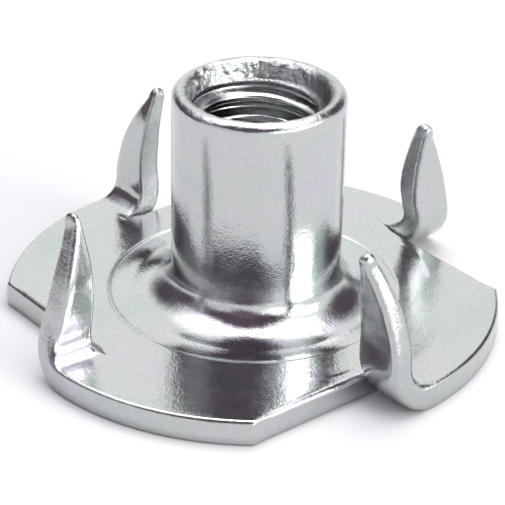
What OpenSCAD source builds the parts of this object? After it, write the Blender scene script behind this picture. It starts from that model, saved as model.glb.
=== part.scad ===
// Four-prong tee nut: round flange with four bent-up prongs and one
// deep-drawn internally threaded barrel, all one piece of steel strip.
// Units are millimetres. +Z runs up the barrel, the origin is on the
// barrel axis at the flat underside of the flange.

/* [Barrel] */
// outside diameter of the drawn barrel
barrel_od = 7.8; // [7.4:0.1:8.2]
// overall height, flange underside to barrel rim
height = 11.2; // [10.2:0.1:13]
// bore at the thread crests (tapping size for the 6 mm coarse thread)
bore_d = 5.0; // [4.9:0.05:5.2]
// mouth of the lead-in at the barrel rim
mouth_d = 6.2; // [6.1:0.1:6.3]
// rounding of the outer rim at the top of the barrel
rim_r = 0.5; // [0.3:0.05:0.6]
// radius where the barrel wall runs out into the flange
root_r = 1.4; // [1.0:0.1:1.6]

/* [Flange] */
// flange diameter
flange_d = 22.7; // [22:0.1:24]
// strip thickness
sheet = 1.2; // [1.1:0.05:1.4]
// rounding of the upper flange edge left by the blanking
edge_r = 0.2; // [0.1:0.05:0.3]
// diameter of the shallow pressed ring round the barrel
ring_d = 13.4; // [12.6:0.1:14.2]
// depth of that ring step
ring_step = 0.08; // [0.03:0.01:0.1]

/* [Prongs] */
// distance from the axis to the straight cut edge of each prong
cut_x = 8.9; // [8.6:0.05:9.2]
// inside radius of the prong bend
bend_r = 1.0; // [0.8:0.05:1.2]
// distance past the radial line where the bend begins
bend_start = 0.9; // [0.7:0.05:1.1]
// bend angle at the foot of the prong, degrees
bend_angle = 95; // [92:1:97]
// bow radius of the prong face toward the flange side
bow_in = 9.7; // [9:0.1:10.5]
// bow radius of the prong back
bow_out = 12.1; // [11.4:0.1:13]
// rounding of the prong tip
tip_r = 0.2; // [0.15:0.05:0.4]

/* [Hidden] */
$fn = 96;
R = flange_d / 2;
Rb = barrel_od / 2;
// height of the standing part above its own bend line, from the flat blank
flap = sqrt(R * R - cut_x * cut_x);
// bend centre in the prong section (y across the bend line, z up)
cy = bend_start;
cz = sheet + bend_r;
sa = sin(bend_angle);
ca = cos(bend_angle);
// foot of the bow on the inner and on the outer face of the bend
in_y = cy - bend_r * sa;
in_z = cz - bend_r * ca;
out_y = cy - (bend_r + sheet) * sa;
out_z = cz - (bend_r + sheet) * ca;
// level from which the prong outline narrows
z0 = 0.7 * sheet / 1.2;
// centre height of the tip rounding on the outline
tip_c = sqrt((R - tip_r) * (R - tip_r) - (cut_x + tip_r) * (cut_x + tip_r));
// underside funnel of the drawn bore
funnel_r = root_r + sheet - 0.25;

// section of the prong, seen along the radial bend line
module prong_section() {
  // flat lead-in that lies in the flange
  translate([cy - 0.01, 0]) square([0.8, sheet]);
  // bend
  intersection() {
    translate([cy, cz]) difference() {
      circle(r = bend_r + sheet);
      circle(r = bend_r);
    }
    polygon([[cy, cz], [cy, -1], [cy - 6, -1],
             [cy - 6 * sa, cz - 6 * ca], [cy - 0.02 * sa, cz - 0.02 * ca]]);
  }
  // bowed blade
  intersection() {
    difference() {
      translate([in_y - bow_in * sa, in_z - bow_in * ca]) circle(r = bow_in);
      translate([out_y - bow_out * sa, out_z - bow_out * ca]) circle(r = bow_out);
    }
    polygon([[out_y - 2 * sa, out_z - 2 * ca - 0.02],
             [in_y + 2 * sa, in_z + 2 * ca - 0.02],
             [in_y + 2 * sa, in_z + 9], [out_y - 3 * sa, in_z + 9]]);
  }
}

// outline of the prong, seen square to its face (x radial, y up)
module prong_outline() {
  difference() {
    union() {
      translate([cut_x, -0.5]) square([R - cut_x, z0 + 0.51]);
      intersection() {
        translate([0, z0]) circle(r = R);
        translate([cut_x, z0]) square([R - cut_x + 1, R]);
      }
    }
    // pointed end beyond the tip rounding
    polygon([[cut_x - 1, z0 + tip_c],
             [cut_x, z0 + tip_c],
             [R * (cut_x + tip_r) / (R - tip_r), z0 + R * tip_c / (R - tip_r)],
             [R, z0 + R], [cut_x - 1, z0 + R]]);
  }
  translate([cut_x + tip_r, z0 + tip_c]) circle(r = tip_r);
}

module prong() {
  intersection() {
    // section swept along the radial bend line
    translate([cut_x - 0.5, 0, 0])
      rotate([90, 0, 90]) linear_extrude(height = R - cut_x + 1) prong_section();
    // outline swept across it
    translate([0, cy + 1.2, 0])
      rotate([90, 0, 0]) linear_extrude(height = 6) prong_outline();
  }
}

// half section of flange and barrel
module body_profile() {
  difference() {
    union() {
      // flange, upper outer edge rounded
      square([R - edge_r, sheet]);
      square([R, sheet - edge_r]);
      translate([R - edge_r, sheet - edge_r]) circle(r = edge_r);
      // barrel wall with rounded rim
      square([Rb, height - rim_r]);
      square([Rb - rim_r, height]);
      translate([Rb - rim_r, height - rim_r]) circle(r = rim_r);
      // run-out of the barrel wall into the flange
      difference() {
        translate([Rb - 0.1, sheet - 0.2]) square([root_r + 0.1, root_r + 0.2]);
        translate([Rb + root_r, sheet + root_r]) circle(r = root_r);
      }
    }
    // pressed ring: shallow dish between barrel root and ring
    polygon([[Rb + root_r + 0.05, sheet + 0.001],
             [ring_d / 2 - 0.1, sheet - ring_step],
             [ring_d / 2, sheet + 0.001]]);
    // bore
    translate([-1, -1]) square([bore_d / 2 + 1, height + 2]);
    // lead-in at the rim
    polygon([[0, height - 1.1], [bore_d / 2, height - 1.1],
             [bore_d / 2 + 0.42, height - 0.62], [bore_d / 2 + 0.46, height - 0.34],
             [mouth_d / 2, height - 0.06], [mouth_d / 2 + 0.1, height + 0.01],
             [0, height + 0.01]]);
    // funnel at the underside
    difference() {
      translate([0, -0.01]) square([bore_d / 2 + funnel_r, funnel_r + 0.01]);
      translate([bore_d / 2 + funnel_r, funnel_r]) circle(r = funnel_r);
      translate([bore_d / 2 + funnel_r, -1]) square([5, 5]);
    }
  }
}

module tee_nut() {
  color([0.80, 0.82, 0.83]) {
    difference() {
      rotate_extrude() intersection() {
        body_profile();
        square([R + 1, height + 1]);
      }
      // straight cuts the prongs were folded out of
      for (i = [0:3]) rotate([0, 0, 90 * i])
        translate([cut_x, -flap - 2, -1]) cube([R, flap + 2 + bend_start, sheet + 2]);
    }
    for (i = [0:3]) rotate([0, 0, 90 * i]) prong();
  }
}

tee_nut();
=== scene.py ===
import math

import bmesh
import bpy
import numpy as np
from mathutils import Matrix, Vector


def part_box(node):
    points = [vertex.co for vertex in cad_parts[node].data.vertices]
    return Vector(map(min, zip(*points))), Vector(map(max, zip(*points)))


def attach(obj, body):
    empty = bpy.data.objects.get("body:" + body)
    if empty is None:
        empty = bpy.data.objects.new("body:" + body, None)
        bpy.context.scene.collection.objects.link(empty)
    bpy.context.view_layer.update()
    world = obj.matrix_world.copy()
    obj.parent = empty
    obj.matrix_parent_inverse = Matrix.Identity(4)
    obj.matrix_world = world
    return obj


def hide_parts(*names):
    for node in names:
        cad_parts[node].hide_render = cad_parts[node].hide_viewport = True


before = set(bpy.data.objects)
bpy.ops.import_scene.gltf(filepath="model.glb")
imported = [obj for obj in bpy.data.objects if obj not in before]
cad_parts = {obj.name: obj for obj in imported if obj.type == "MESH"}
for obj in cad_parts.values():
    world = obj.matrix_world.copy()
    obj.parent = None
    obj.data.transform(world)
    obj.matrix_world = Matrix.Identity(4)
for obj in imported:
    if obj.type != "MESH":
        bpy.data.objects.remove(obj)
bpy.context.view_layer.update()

# ---------------------------------------------------------------- sizes (mm, from the frame)
box_lo, box_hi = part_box("tee_nut")
R = (box_hi.x - box_lo.x) * 500.0          # flange radius
H = box_hi.z * 1000.0                      # overall height
SHEET = 1.2
RB = 3.90                                  # barrel outside radius
ROOT, FOOT = 1.4, 1.8                      # root fillet, up and outwards
CREST, PITCH, DEPTH = 2.5, 1.0, 0.52       # thread
CUT = 8.9                                  # axis to the straight cuts
YB = 0.9                                   # bend start
RBEND = 1.0                                # inside bend radius
BEND = math.radians(95.2)
BOW = -0.929 / 10.0                        # curvature of the standing blade, 1/mm
TAPER = 0.36                               # loss of thickness at the tip
FUNNEL = 2.35
GAP = 0.03                                 # half the width of the shear slit
BETA = math.acos(CUT / R)
THS = math.atan2(YB + 0.10, CUT)           # end of the slit
RS = CUT / math.cos(THS)


def sstep(a, b, x):
    t = np.clip((np.asarray(x, float) - a) / (b - a), 0, 1)
    return t * t * (3 - 2 * t)


def smax(a, b, k):
    """Larger of a and b, rounded over k."""
    h = np.clip(0.5 + 0.5 * (a - b) / k, 0, 1)
    return b + (a - b) * h + k * h * (1 - h)


def ease(n, e0=1.0, e1=1.0):
    """n values from 0 to 1, closer together at an end whose weight is below 1."""
    t = np.linspace(0, 1, n)
    d = e0 + (1 - e0) * sstep(0, 0.35, t)
    d = d * (e1 + (1 - e1) * sstep(0, 0.35, 1 - t))
    c = np.concatenate([[0], np.cumsum((d[1:] + d[:-1]) / 2)])
    return c / c[-1]


# smooth value noise on a lattice, for small irregularities of the forming
rng = np.random.RandomState(7)
LAT = rng.rand(32, 32, 32).astype(float)


def vnoise(p, scale, seed=0):
    q = np.asarray(p, float) * scale + 11.3 * seed + 100.0
    i = np.floor(q).astype(int)
    f = q - i
    f = f * f * (3 - 2 * f)
    out = 0
    for dx in (0, 1):
        for dy in (0, 1):
            for dz in (0, 1):
                w = (f[..., 0] if dx else 1 - f[..., 0]) * (f[..., 1] if dy else 1 - f[..., 1]) * (f[..., 2] if dz else 1 - f[..., 2])
                out = out + w * LAT[(i[..., 0] + dx) % 32, (i[..., 1] + dy) % 32, (i[..., 2] + dz) % 32]
    return out * 2 - 1


# ---------------------------------------------------------------- columns round the axis
N_CH, N_RIM = 42, 38
cols, local, is_ch = [], [], []
slit_cols = []
for k in range(4):
    base = math.radians(90 * k)
    for t in ease(N_CH + 1, 0.35, 0.18)[:-1]:
        a = -BETA + t * (THS + BETA)
        cols.append(base + a); local.append(a); is_ch.append(True)
    slit_cols.append(len(cols))
    for t in ease(N_RIM + 1, 0.30, 0.35)[:-1]:
        a = THS + t * (math.pi / 2 - BETA - THS)
        cols.append(base + a); local.append(a); is_ch.append(False)
TH = np.array(cols); LOC = np.array(local); CH = np.array(is_ch)
NC = len(TH)

# distance from the axis to the edge, and to the row where the prongs branch off
gap = GAP * sstep(0.0, 0.35, (THS - LOC) * CUT) * sstep(0.0, 0.6, (LOC + BETA) * CUT)
RBND = np.where(CH, np.minimum((CUT - gap) / np.cos(LOC), R), R)
w_corner = R - RS
toslit = np.where(CH, (THS - LOC) * CUT, 9.0)              # mm from the end of the slit
fromcorner = np.where(CH, (LOC + BETA) * R, 9.0)
W = np.where(CH, 0.62 + (w_corner - 0.62) * (1 - sstep(0, 5.5, fromcorner)), w_corner)
W = np.where(CH, np.minimum(W, 0.05 + 0.62 * sstep(0, 0.9, toslit) + 4 * np.clip(toslit - 0.9, 0, 9)), W)
RJ = RBND - W
# edge roundings: rolled over on the cut edges, small on the rim
r_top = np.where(CH, 0.30 * sstep(0.0, 1.1, toslit) * (1 - 0.35 * (1 - sstep(0, 0.8, fromcorner))), 0.20)
r_top = np.where(CH, np.minimum(r_top, 0.6 * W), r_top)
r_bot = np.where(CH, np.minimum(0.10, 0.4 * W), 0.10)

rows_r, rows_z, tag = [], [], {}


def row(r, z):
    rows_r.append(np.broadcast_to(np.asarray(r, float), (NC,)).copy())
    rows_z.append(np.broadcast_to(np.asarray(z, float), (NC,)).copy())


def thread_r(z):
    """Radius of the tapped wall at height z for every column: a right-hand 60 degree form."""
    ph = ((z - PITCH * TH / (2 * math.pi)) / PITCH - 0.12) % 1.0
    d = np.abs(ph - 0.5) * 2                      # 0 at the root, 1 at the crest
    v = np.clip((0.80 - d) / 0.62, 0, 1)          # flanks between the flats
    v = v * v * (3 - 2 * v) * 0.35 + v * 0.65
    return CREST + DEPTH * v


Z_LEAD = H - 1.10


def lead_r(z):
    """Lead-in and flare of the mouth."""
    zz = [H - 1.25, Z_LEAD, H - 0.95, H - 0.82, H - 0.60, H - 0.36]
    rr = [2.30, CREST, 2.74, 2.90, 3.00, 3.07]
    return np.interp(z, zz, rr)


# rim, outside
RIM = 0.44
row(RB - RIM + 0.04, H - 0.002)
for a in np.linspace(80, 0, 10):
    a = math.radians(a)
    row(RB - RIM + RIM * math.cos(a), H - RIM + RIM * math.sin(a))
# barrel wall
for t in np.linspace(0, 1, 16)[1:-1]:
    row(RB, H - RIM + t * (SHEET + ROOT - H + RIM))
# root fillet
for a in np.linspace(180, 270, 16):
    a = math.radians(a)
    row(RB + FOOT + FOOT * math.cos(a), SHEET + ROOT + ROOT * math.sin(a))
# pressed dish and ring
for r, z in ((5.76, -0.006), (5.84, -0.020), (5.95, -0.040), (6.08, -0.058), (6.22, -0.068), (6.37, -0.070), (6.50, -0.066),
             (6.59, -0.056), (6.63, -0.038), (6.67, -0.018), (6.71, -0.004), (6.76, 0.002), (6.86, 0.0)):
    row(r, SHEET + z)
tag["flat0"] = len(rows_r)
for t in np.linspace(0, 1, 9)[1:]:
    row(6.86 + t * (RJ - 6.86), SHEET)
tag["J"] = len(rows_r) - 1
N2, N2B = 8, 8
for t in np.linspace(0, 1, N2 + 1)[1:]:
    row(RJ + t * (RBND - r_top - RJ), SHEET)
edge_n = 0
for a in np.linspace(90, 0, 7)[1:]:
    a = math.radians(a)
    row(RBND - r_top + r_top * math.cos(a), SHEET - r_top + r_top * math.sin(a)); edge_n += 1
for t in (0.33, 0.67):
    row(RBND, (SHEET - r_top) * (1 - t) + r_bot * t); edge_n += 1
for a in np.linspace(0, -90, 4):
    a = math.radians(a)
    row(RBND - r_bot + r_bot * math.cos(a), r_bot + r_bot * math.sin(a)); edge_n += 1
for t in np.linspace(0, 1, N2B + 1)[1:-1]:
    row(RBND - r_bot + t * (RJ - RBND + r_bot), 0.0)
row(RJ, 0.0)
tag["JB"] = len(rows_r) - 1
for t in np.linspace(0, 1, 8)[1:-1]:
    row(RJ + t * (CREST + FUNNEL - RJ), 0.0)
# funnel at the underside
for a in np.linspace(270, 180, 15):
    a = math.radians(a)
    z = FUNNEL + FUNNEL * math.sin(a)
    row(smax(CREST + FUNNEL + FUNNEL * math.cos(a), thread_r(z) if z > 1.0 else CREST, 0.03), z)
# tapped wall, finer where it can be seen
z = FUNNEL
zs = []
while z < H - 5.2:
    z += 0.085; zs.append(z)
while z < Z_LEAD - 0.05:
    z += 0.0625; zs.append(z)
for z in zs:
    row(thread_r(z), z)
z_last = zs[-1]
for z in np.linspace(z_last, H - 0.37, 16)[1:]:
    row(smax(np.minimum(thread_r(z), 3.02), lead_r(z), 0.04), z)
# shallow countersink up to the rim
for r, dz in ((3.085, -0.325), (3.10, -0.285), (3.12, -0.245), (3.145, -0.205), (3.175, -0.165), (3.21, -0.128), (3.25, -0.094), (3.295, -0.062), (3.34, -0.036), (3.385, -0.017), (3.43, -0.006)):
    row(r, H + dz)

RR = np.array(rows_r); ZZ = np.array(rows_z)
NR = len(RR)
J, JB = tag["J"], tag["JB"]

X = RR * np.cos(TH)[None, :]
Y = RR * np.sin(TH)[None, :]
P = np.stack([X, Y, ZZ], -1)

# small irregularities left by the press: mouth flare and rim, ring, and the flange's gentle waviness
rad = np.stack([np.cos(TH), np.sin(TH), np.zeros(NC)], -1)[None, :, :]
inner = (RR < 3.40) & (ZZ > H - 1.05)
amp = 0.034 * inner * sstep(H - 1.05, H - 0.6, ZZ) * (1 + 0.8 * np.cos(TH - math.radians(190))[None, :])
nz = vnoise(P, 3.1, 1) + 0.6 * vnoise(P, 6.5, 2)
P = P + rad * (amp * nz)[..., None]
lip = (ZZ > H - 0.30)
P[..., 2] -= np.where(lip, 0.018 * (1 + vnoise(P, 3.4, 5)) * sstep(H - 0.30, H - 0.12, ZZ), 0)
# the drawn barrel sits a little off the middle of the blank
OFFX, OFFY = 0.135 * 0.633, 0.135 * 0.774
wt = 1 - sstep(5.0, 6.75, RR)
P[..., 0] += wt * OFFX
P[..., 1] += wt * OFFY
top_flat = (np.arange(NR)[:, None] > 40) & (np.arange(NR)[:, None] <= J)
P[..., 2] -= np.where(top_flat, 0.012 * (1 + vnoise(P, 0.35, 3)) * sstep(5.2, 6.2, RR) * sstep(0.0, 0.8, RBND[None, :] - RR), 0)

verts = [P.reshape(-1, 3)]
# where the surface is a cut or hammered edge rather than rolled strip
edge_rows = (np.arange(NR)[:, None] > J + N2) & (np.arange(NR)[:, None] <= J + N2 + edge_n)
mouth_rows = sstep(H - 1.3, H - 0.9, ZZ) * (RR < 3.46) + 0.42 * (RR >= 3.46) * sstep(H - 0.42, H - 0.1, ZZ)
shear = [(0.35 * edge_rows * np.ones(NC)[None, :] + 1.0 * mouth_rows).reshape(-1)]
count = NR * NC
idx = np.arange(NR * NC).reshape(NR, NC)
faces = []


def side_ids(j, side):
    """Vertex ids of column j as the cells on its chord side ('c') or rim side ('r') use them."""
    ids = list(idx[:, j])
    if j in slit_cols and side == "c":
        ids[J + 1:JB] = slit_ids[j]
    return ids


# the upright line where each slit ends
NM = JB - J - 1
slit_ids = {}
for j in slit_cols:
    w = np.concatenate([np.full(N2, 0.012), np.full(NM + 1 - N2 - (N2B - 1), 1.0), np.full(N2B - 1, 0.012)])
    zline = SHEET * (1 - np.cumsum(w)[:NM] / w.sum())
    pts = np.stack([np.full(NM, P[J, j, 0]), np.full(NM, P[J, j, 1]), zline], -1)
    verts.append(pts)
    shear.append(np.ones(NM))
    slit_ids[j] = list(range(count, count + NM))
    count += NM

for j in range(NC):
    j2 = (j + 1) % NC
    a = side_ids(j, "r")
    b = side_ids(j2, "c")
    for i in range(NR):
        i2 = (i + 1) % NR
        faces.append((a[i], a[i2], b[i2], b[i]))

# ---------------------------------------------------------------- prongs
L = math.sqrt(R * R - CUT * CUT) + YB


def path(s):
    """Middle line of the prong from the bend start: y, z and its turning angle."""
    s = np.asarray(s, float)
    rm = RBEND + SHEET / 2
    sb = rm * BEND
    a = np.minimum(s / rm, BEND)
    y = YB - rm * np.sin(a)
    z = SHEET / 2 + rm * (1 - np.cos(a))
    rest = np.maximum(s - sb, 0)
    neg = np.minimum(s, 0)
    y = np.where(s < 0, YB - neg, y)
    z = np.where(s < 0, SHEET / 2, z)
    y = y - (np.sin(BEND + BOW * rest) - np.sin(BEND)) / BOW
    z = z + (-np.cos(BEND + BOW * rest) + np.cos(BEND)) / BOW
    ang = np.where(s <= 0, 0.0, np.where(s < sb, a, BEND + BOW * rest))
    return y, z, ang


# per prong: outer edge set in, how far short of the blank's point it ends, blunt width
PRONGS = [
    dict(trim=-0.02, short=0.14, blunt=0.30, waist=0.00, belly=0.30, twist=0, ot=0.46, ob=0.34, it=0.16, ib=0.22),
    dict(trim=-0.02, short=0.30, blunt=0.34, waist=0.24, belly=0.08, twist=0, ot=0.42, ob=0.24, it=0.20, ib=0.20),
    dict(trim=-0.06, short=0.10, blunt=0.34, waist=0.00, belly=0.02, twist=0, ot=0.42, ob=0.16, it=0.12, ib=0.16),
    dict(trim=0.40, short=0.24, blunt=0.34, waist=0.06, belly=0.24, twist=8, ot=0.34, ob=0.08, it=0.22, ib=0.30)]
S_RINGS = np.concatenate([np.linspace(0, RBEND * 0 + 2.656, 30)[1:], np.linspace(2.656, 7.0, 26)[1:]])


def section(s, k, cap=0.0):
    """Closed outline of prong k at path distance s: (x, offset from the middle line)."""
    pr = PRONGS[k]
    t = SHEET * (1 - 0.03 * float(sstep(1, 4, s)) - TAPER * float(sstep(4.2, 8.0, s)))
    xi = CUT + GAP * float(sstep(0, 0.5, s)) + pr["waist"] * float(sstep(0.5, 1.9, s) * (1 - sstep(2.3, 4.2, s)))
    xi -= pr["belly"] * float(sstep(1.2, 3.4, s) * (1 - 0.6 * sstep(5.2, 8.0, s)))
    xo = math.sqrt(max(R * R - (s - YB) ** 2, CUT ** 2))
    xo -= pr["trim"] * float(sstep(0.8, 3.2, s))
    wd = max(xo - xi, 0.0)
    wd = math.sqrt(wd * wd + (pr["blunt"] ** 2) * float(sstep(4.0, 7.4, s)))
    xo = xi + wd
    h = t / 2
    f = float(sstep(0.0, 1.6, s))
    half = 0.47 * min(wd, t)
    c_ot = min(0.20 + (pr["ot"] - 0.20) * f, half)       # outer edge, face side
    c_ob = min(0.10 + (pr["ob"] - 0.10) * f, half)       # outer edge, back side
    c_it = min(0.004 + pr["it"] * float(sstep(0, 1.0, s)), half)
    c_ib = min(0.004 + pr["ib"] * float(sstep(0, 1.0, s)), half)
    out = [(xi + c_it, h)]
    for q in np.linspace(0, 1, N2 + 1)[1:]:
        out.append((xi + c_it + q * (xo - c_ot - xi - c_it), h))
    for a in np.linspace(90, 0, 7)[1:]:
        a = math.radians(a)
        out.append((xo - c_ot + c_ot * math.cos(a), h - c_ot + c_ot * math.sin(a)))
    for q in (0.33, 0.67):
        out.append((xo, (h - c_ot) * (1 - q) + (-h + c_ob) * q))
    for a in np.linspace(0, -90, 4):
        a = math.radians(a)
        out.append((xo - c_ob + c_ob * math.cos(a), -h + c_ob + c_ob * math.sin(a)))
    for q in np.linspace(0, 1, N2B + 1)[1:-1]:
        out.append((xo - c_ob + q * (xi + c_ib - xo + c_ob), -h))
    out.append((xi + c_ib, -h))
    n_b = (NM - 9) // 2
    n_t = NM - 9 - n_b
    for a in np.linspace(-90, -180, n_b + 1)[1:]:
        a = math.radians(a)
        out.append((xi + c_ib + c_ib * math.cos(a), -h + c_ib + c_ib * math.sin(a)))
    for q in np.linspace(0, 1, 11)[1:-1]:
        out.append((xi, (-h + c_ib) * (1 - q) + (h - c_it) * q))
    for a in np.linspace(180, 90, n_t + 1)[:-1]:
        a = math.radians(a)
        out.append((xi + c_it + c_it * math.cos(a), h - c_it + c_it * math.sin(a)))
    out = np.array(out)
    # faces a little domed across the width by the bending
    u = np.clip((out[:, 0] - xi) / max(xo - xi, 1e-6), 0, 1)
    out[:, 1] *= 1 + 0.07 * f * (4 * u * (1 - u) - 0.6)
    mid = np.array([(xi + xo) / 2, 0.0])
    if cap > 0:
        # domed tip: both ways drawn in towards the middle
        ca = max(math.cos(cap), 0.0)
        out = mid + (out - mid) * np.array([max(ca ** 0.85, 0.12), max(ca ** 0.75, 0.12)])
    tw = math.radians(pr["twist"]) * float(sstep(1.6, 4.6, s))
    if tw:
        d = out - mid
        out = mid + np.stack([d[:, 0] * math.cos(tw) - d[:, 1] * math.sin(tw), d[:, 0] * math.sin(tw) + d[:, 1] * math.cos(tw)], -1)
    return out


for k in range(4):
    j = slit_cols[k]
    ring0 = list(idx[J:JB + 1, j]) + slit_ids[j][::-1]
    c, sn = math.cos(math.pi / 2 * k), math.sin(math.pi / 2 * k)

    def place(xo_, s):
        """Section points at path distance s (an array or a number) to the row frame."""
        y, z, ang = path(s)
        yy = y + xo_[:, 1] * np.sin(ang)
        zz = z + xo_[:, 1] * np.cos(ang)
        pts = np.stack([xo_[:, 0] * c - yy * sn, xo_[:, 0] * sn + yy * c, zz], -1)
        f = float(np.mean(sstep(0.3, 1.6, s)))
        if f > 0:
            # dents and pull marks of the forming tools
            mid_ = pts.mean(0)
            away = pts - mid_
            away = away / np.maximum(np.linalg.norm(away, axis=1, keepdims=True), 1e-6)
            d = 0.034 * vnoise(pts, 0.9, 20 + k) + 0.012 * vnoise(pts, 2.6, 30 + k) - 0.008
            pts = pts + away * (f * d)[:, None]
        return pts

    prev = ring0
    n = len(ring0)

    def add_ring(pts, prev):
        global count
        verts.append(pts)
        m = np.zeros(n)
        m[N2B + N2 + edge_n + 1:] = 1.0
        m[N2 + 2:N2 + edge_n] = 0.6
        shear.append(m)
        ids = list(range(count, count + n))
        count += n
        for i in range(n):
            i2 = (i + 1) % n
            faces.append((prev[i], prev[i2], ids[i2], ids[i]))
        return ids

    # flat lead-in between the radial seam and the bend line
    r0 = P[J:JB + 1, j]
    sec0 = section(0.0, k)
    assert len(sec0) == n, (len(sec0), n)
    for q in (0.5, 1.0):
        s_seam = YB - sec0[:, 0] * math.tan(THS)
        prev = add_ring(place(sec0, s_seam * (1 - q)), prev)
    s_end = L - PRONGS[k]["short"]
    rc = 0.52
    for s in S_RINGS:
        s = s * (s_end - rc) / 7.0 if s > 2.656 else s
        s = 2.656 + (s - 2.656) * 1.0 if s > 2.656 else s
        prev = add_ring(place(section(s, k), s), prev)
    s0 = s_end - rc
    for a in np.linspace(0, 86, 12)[1:]:
        a = math.radians(a)
        s = s0 + rc * math.sin(a)
        prev = add_ring(place(section(s0, k, cap=a), s), prev)
    tip = np.concatenate(verts)[prev].mean(0)
    verts.append(tip[None, :])
    shear.append(np.zeros(1))
    for i in range(n):
        faces.append((prev[i], prev[(i + 1) % n], count))
    count += 1

V = np.concatenate(verts) / 1000.0
SHEAR = np.concatenate(shear)
me = bpy.data.meshes.new("tee_nut_body")
me.from_pydata([tuple(v) for v in V], [], [tuple(int(i) for i in f) for f in faces])
assert len(SHEAR) == len(V), (len(SHEAR), len(V))
at = me.attributes.new("shear", "FLOAT", "POINT")
at.data.foreach_set("value", SHEAR.astype(np.float32))
me.validate()
bm = bmesh.new()
bm.from_mesh(me)
bmesh.ops.remove_doubles(bm, verts=bm.verts, dist=2e-7)
bmesh.ops.recalc_face_normals(bm, faces=bm.faces)
open_edges = sum(1 for e in bm.edges if len(e.link_faces) != 2)
print("tee_nut_body verts", len(bm.verts), "faces", len(bm.faces), "open edges", open_edges, "volume mm3", round(bm.calc_volume() * 1e9, 2))
for f in bm.faces:
    f.smooth = True
bm.to_mesh(me)
bm.free()
print("triangles", sum(len(p.vertices) - 2 for p in me.polygons))
body = bpy.data.objects.new("tee_nut_body", me)
bpy.context.scene.collection.objects.link(body)

# ---------------------------------------------------------------- materials


def nodes_of(tree):
    tree.nodes.clear()
    return tree.nodes, tree.links


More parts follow.
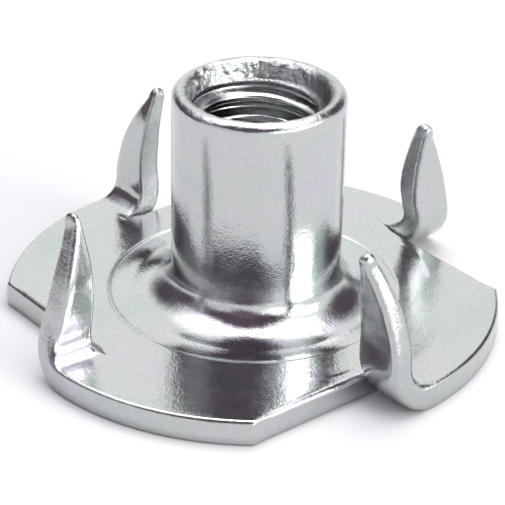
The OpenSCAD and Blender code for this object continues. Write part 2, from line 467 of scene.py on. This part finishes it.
def plated_steel():
    m = bpy.data.materials.new("plated_steel_bright_zinc")
    m.use_nodes = True
    nt = m.node_tree
    nd, ln = nodes_of(nt)
    out = nd.new("ShaderNodeOutputMaterial")
    bsdf = nd.new("ShaderNodeBsdfPrincipled")
    ln.new(bsdf.outputs[0], out.inputs[0])
    bsdf.inputs["Metallic"].default_value = 1.0
    tc = nd.new("ShaderNodeTexCoord")

    def noise(scale, detail=2.0, rough=0.5, vec=None):
        n = nd.new("ShaderNodeTexNoise")
        n.inputs["Scale"].default_value = scale
        n.inputs["Detail"].default_value = detail
        n.inputs["Roughness"].default_value = rough
        ln.new(vec or tc.outputs["Object"], n.inputs["Vector"])
        return n

    def ramp(src, stops):
        r = nd.new("ShaderNodeValToRGB")
        el = r.color_ramp.elements
        el[0].position, el[0].color = stops[0]
        el[1].position, el[1].color = stops[-1]
        for p, c in stops[1:-1]:
            e = el.new(p); e.color = c
        ln.new(src, r.inputs[0])
        return r

    def rng_(src, a, b, c, d):
        r = nd.new("ShaderNodeMapRange")
        r.inputs[1].default_value, r.inputs[2].default_value = a, b
        r.inputs[3].default_value, r.inputs[4].default_value = c, d
        ln.new(src, r.inputs[0])
        return r

    def math_(op, a, b):
        n = nd.new("ShaderNodeMath"); n.operation = op
        for i, x in enumerate((a, b)):
            if isinstance(x, (int, float)):
                n.inputs[i].default_value = x
            else:
                ln.new(x, n.inputs[i])
        return n

    # colour: bright zinc with a slight cool and lilac drift
    cn = noise(330, 3, 0.55)
    cr = ramp(cn.outputs["Fac"], [(0.30, (0.525, 0.565, 0.575, 1)), (0.50, (0.56, 0.585, 0.572, 1)), (0.70, (0.59, 0.56, 0.615, 1))])
    fine = noise(5200, 2, 0.6)
    fr = rng_(fine.outputs["Fac"], 0.3, 0.75, 0.90, 1.0)
    mul = nd.new("ShaderNodeMix"); mul.data_type = "RGBA"; mul.blend_type = "MULTIPLY"
    mul.inputs[0].default_value = 1.0
    ln.new(cr.outputs[0], mul.inputs[6])
    ln.new(fr.outputs[0], mul.inputs[7])
    # roughness: mostly polished, cloudier in patches
    rn = noise(900, 4, 0.6)
    rr = rng_(rn.outputs["Fac"], 0.3, 0.75, 0.06, 0.17)
    # cut and hammered edges are a little duller and rougher
    sa = nd.new("ShaderNodeAttribute"); sa.attribute_name = "shear"
    sr = math_("MULTIPLY", sa.outputs["Fac"], 0.09)
    rs = math_("ADD", rr.outputs[0], sr.outputs[0])
    ln.new(rs.outputs[0], bsdf.inputs["Roughness"])
    en = noise(3100, 3, 0.6)
    ed = math_("MULTIPLY", sa.outputs["Fac"], en.outputs["Fac"])
    ec = rng_(ed.outputs[0], 0.0, 0.75, 1.0, 0.78)
    mul2 = nd.new("ShaderNodeMix"); mul2.data_type = "RGBA"; mul2.blend_type = "MULTIPLY"
    mul2.inputs[0].default_value = 1.0
    ln.new(mul.outputs[2], mul2.inputs[6])
    ln.new(ec.outputs[0], mul2.inputs[7])
    ln.new(mul2.outputs[2], bsdf.inputs["Base Color"])
    # bump: plating grain, orange peel and forming waviness
    g1 = noise(10500, 2, 0.65)
    g2 = noise(2600, 2, 0.5)
    g3 = noise(620, 2, 0.5)
    b1 = nd.new("ShaderNodeBump"); b1.inputs["Strength"].default_value = 1.0; b1.inputs["Distance"].default_value = 7.0e-6
    b2 = nd.new("ShaderNodeBump"); b2.inputs["Strength"].default_value = 1.0; b2.inputs["Distance"].default_value = 6.0e-6
    b3 = nd.new("ShaderNodeBump"); b3.inputs["Strength"].default_value = 1.0; b3.inputs["Distance"].default_value = 2.0e-5
    ln.new(g1.outputs["Fac"], b1.inputs["Height"])
    ln.new(g2.outputs["Fac"], b2.inputs["Height"])
    ln.new(g3.outputs["Fac"], b3.inputs["Height"])
    ln.new(b3.outputs[0], b2.inputs["Normal"])
    ln.new(b2.outputs[0], b1.inputs["Normal"])
    # draw lines, drawn out along the height
    mp = nd.new("ShaderNodeMapping"); mp.inputs["Scale"].default_value = (1.0, 1.0, 0.07)
    ln.new(tc.outputs["Object"], mp.inputs["Vector"])
    g4 = noise(8000, 3, 0.6, mp.outputs[0])
    b4 = nd.new("ShaderNodeBump"); b4.inputs["Strength"].default_value = 1.0; b4.inputs["Distance"].default_value = 3.0e-6
    ln.new(g4.outputs["Fac"], b4.inputs["Height"])
    ln.new(b1.outputs[0], b4.inputs["Normal"])
    # cut and hammered edges: torn, speckled
    av = nd.new("ShaderNodeAttribute"); av.attribute_name = "shear"
    g5 = noise(6400, 3, 0.7)
    h5 = math_("MULTIPLY", g5.outputs["Fac"], av.outputs["Fac"])
    b5 = nd.new("ShaderNodeBump"); b5.inputs["Strength"].default_value = 1.0; b5.inputs["Distance"].default_value = 3.6e-5
    ln.new(h5.outputs[0], b5.inputs["Height"])
    ln.new(b4.outputs[0], b5.inputs["Normal"])
    ln.new(b5.outputs[0], bsdf.inputs["Normal"])
    return m


zinc = plated_steel()
me.materials.append(zinc)
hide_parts("tee_nut")
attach(body, "root")

# ---------------------------------------------------------------- floor
fm = bpy.data.meshes.new("floor")
fb = bmesh.new()
bmesh.ops.create_grid(fb, x_segments=2, y_segments=2, size=1.2)
fb.to_mesh(fm); fb.free()
floor = bpy.data.objects.new("floor", fm)
floor.location = (0, 0, -0.00002)
bpy.context.scene.collection.objects.link(floor)
fmat = bpy.data.materials.new("floor_white")
fmat.use_nodes = True
fbs = fmat.node_tree.nodes["Principled BSDF"]
fbs.inputs["Base Color"].default_value = (0.63, 0.625, 0.635, 1)
fbs.inputs["Roughness"].default_value = 0.9
fbs.inputs["Specular IOR Level"].default_value = 0.1
fm.materials.append(fmat)

# ---------------------------------------------------------------- camera
EL, AZ, ROLL = math.radians(29.181), math.radians(-39.28), math.radians(1.159)
DIST, SCALE, TX, TY = 94.631, 22.028, 254.14, 212.911
back = Vector((math.cos(EL) * math.cos(AZ), math.cos(EL) * math.sin(AZ), math.sin(EL)))
right = Vector((-math.sin(AZ), math.cos(AZ), 0))
up = back.cross(right)
right2 = right * math.cos(ROLL) + up * math.sin(ROLL)
up2 = up * math.cos(ROLL) - right * math.sin(ROLL)
dx, dy = (TX - 252.5) / SCALE, -(TY - 252.5) / SCALE
pos = Vector((0, 0, 5.0)) + back * DIST - right2 * dx - up2 * dy
cd = bpy.data.cameras.new("camera")
cam = bpy.data.objects.new("camera", cd)
bpy.context.scene.collection.objects.link(cam)
cd.sensor_width = 36.0
cd.lens = 36.0 * SCALE * DIST / 505.0
cd.clip_start, cd.clip_end = 0.005, 20.0
cd.dof.use_dof = False
rot = Matrix((right2, up2, back)).transposed()
cam.rotation_mode = "QUATERNION"
cam.location = pos / 1000.0
cam.rotation_quaternion = rot.to_quaternion()
bpy.context.scene.camera = cam

# ---------------------------------------------------------------- studio surroundings
CAMH = Vector((math.cos(AZ), math.sin(AZ), 0))        # level direction towards the camera
RGT = right


def studio():
    w = bpy.data.worlds.new("studio")
    bpy.context.scene.world = w
    w.use_nodes = True
    nt = w.node_tree
    nd, ln = nodes_of(nt)
    out = nd.new("ShaderNodeOutputWorld")
    bg = nd.new("ShaderNodeBackground")
    ln.new(bg.outputs[0], out.inputs[0])
    tc = nd.new("ShaderNodeTexCoord")
    vec = tc.outputs["Generated"]

    def dot(v):
        n = nd.new("ShaderNodeVectorMath"); n.operation = "DOT_PRODUCT"
        ln.new(vec, n.inputs[0]); n.inputs[1].default_value = tuple(Vector(v).normalized())
        return n.outputs["Value"]

    def smooth(src, a, b, c=0.0, d=1.0):
        n = nd.new("ShaderNodeMapRange"); n.interpolation_type = "SMOOTHSTEP"
        n.inputs[1].default_value, n.inputs[2].default_value = a, b
        n.inputs[3].default_value, n.inputs[4].default_value = c, d
        ln.new(src, n.inputs[0])
        return n.outputs[0]

    def m(op, a, b):
        n = nd.new("ShaderNodeMath"); n.operation = op
        for i, x in enumerate((a, b)):
            if isinstance(x, (int, float)):
                n.inputs[i].default_value = x
            else:
                ln.new(x, n.inputs[i])
        return n.outputs[0]

    def mix(fac, a, b):
        n = nd.new("ShaderNodeMix"); n.data_type = "RGBA"
        ln.new(fac, n.inputs[0])
        for i, x in ((6, a), (7, b)):
            if isinstance(x, tuple):
                n.inputs[i].default_value = (*x, 1)
            else:
                ln.new(x, n.inputs[i])
        return n.outputs[2]

    def direction(az, el):
        """az in degrees from the camera's side, to the right; el above the horizon."""
        a, e = math.radians(az), math.radians(el)
        return CAMH * (math.cos(e) * math.cos(a)) + RGT * (math.cos(e) * math.sin(a)) + Vector((0, 0, math.sin(e)))

    def patch(az, el, inner_deg, outer_deg):
        return smooth(dot(direction(az, el)), math.cos(math.radians(outer_deg)), math.cos(math.radians(inner_deg)))

    zc = dot((0, 0, 1))
    side = dot(RGT)
    col = mix(smooth(zc, 0.0, 0.5), (1.14, 1.17, 1.16), (1.22, 1.28, 1.24))
    col = mix(smooth(side, -0.9, 0.7), (0.88, 0.88, 0.92), col)
    col = mix(smooth(zc, 0.62, 0.86), col, (2.3, 2.3, 2.36))
    # openings of the light tent: dark to the left and right behind the part
    col = mix(patch(-170, 30, 12, 32), col, (1.20, 1.22, 1.19))
    col = mix(patch(-128, 18, 12, 30), col, (0.13, 0.10, 0.125))
    col = mix(patch(-98, 12, 12, 28), col, (0.15, 0.12, 0.145))
    col = mix(patch(-70, 29, 8, 20), col, (0.36, 0.31, 0.36))
    col = mix(patch(130, 28, 14, 34), col, (0.14, 0.11, 0.135))
    # dark side behind the camera
    col = mix(patch(-44, 42, 10, 24), col, (0.13, 0.10, 0.13))
    col = mix(patch(-12, 50, 22, 34), col, (0.15, 0.115, 0.15))
    col = mix(patch(20, 42, 10, 22), col, (0.13, 0.10, 0.13))
    col = mix(patch(-14, 25, 10, 20), col, (0.22, 0.175, 0.215))
    # large soft window, front right
    col = mix(patch(36, 10, 12, 27), col, (2.5, 2.5, 2.55))
    col = mix(patch(61, 25, 7, 17), col, (2.8, 2.8, 2.85))
    ln.new(col, bg.inputs[0])
    bg.inputs[1].default_value = 1.0
    return w


studio()


def area(name, az, el, dist, size, power, color=(1, 1, 1)):
    a, e = math.radians(az), math.radians(el)
    d = CAMH * (math.cos(e) * math.cos(a)) + RGT * (math.cos(e) * math.sin(a)) + Vector((0, 0, math.sin(e)))
    ld = bpy.data.lights.new(name, "AREA")
    ld.shape = "RECTANGLE"
    ld.size, ld.size_y = size
    ld.energy = power
    ld.color = color
    o = bpy.data.objects.new(name, ld)
    o.location = d * dist
    o.rotation_mode = "QUATERNION"
    o.rotation_quaternion = d.to_track_quat("Z", "Y")
    bpy.context.scene.collection.objects.link(o)
    return o


area("soft_top", 150, 78, 0.5, (0.30, 0.30), 1.1)
area("soft_side", 62, 26, 0.13, (0.07, 0.05), 0.055)

sc = bpy.context.scene
sc.view_settings.view_transform = "Standard"
sc.view_settings.look = "None"
sc.view_settings.exposure = 0.0
sc.view_settings.gamma = 1.0
